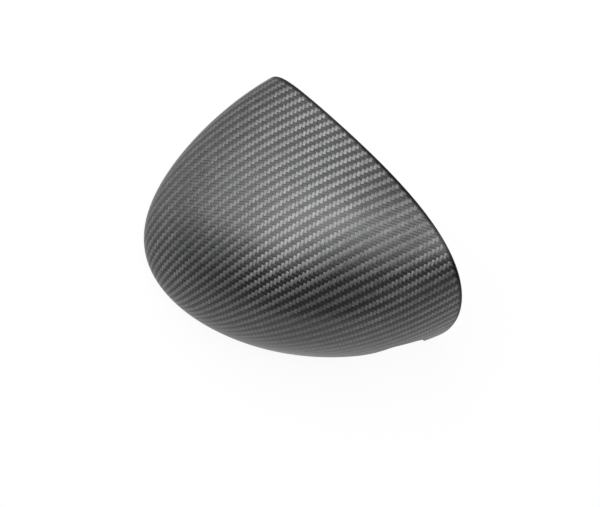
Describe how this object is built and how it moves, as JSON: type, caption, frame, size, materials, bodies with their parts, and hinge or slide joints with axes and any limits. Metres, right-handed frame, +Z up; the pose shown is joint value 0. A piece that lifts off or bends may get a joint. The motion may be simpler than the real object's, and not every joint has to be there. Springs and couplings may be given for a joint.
{
  "type": "wing mirror cover",
  "caption": "Domed cover for the upper part of a car's wing mirror: a thin woven carbon laminate shell with a clear gloss finish, open below and behind.",
  "frame": {"origin": "middle of the cover's plan, on the plane of its lower edge", "axes": "+Z up, -Y towards the front of the car, -X towards the outer tip and +X towards the door"},
  "size_m": [0.1879, 0.1598, 0.0901],
  "materials": {
    "carbon_laminate": "woven carbon twill under a clear gloss coat"
  },
  "bodies": {
    "root": {"mirror_cover": "carbon_laminate"}
  },
  "joints": []
}
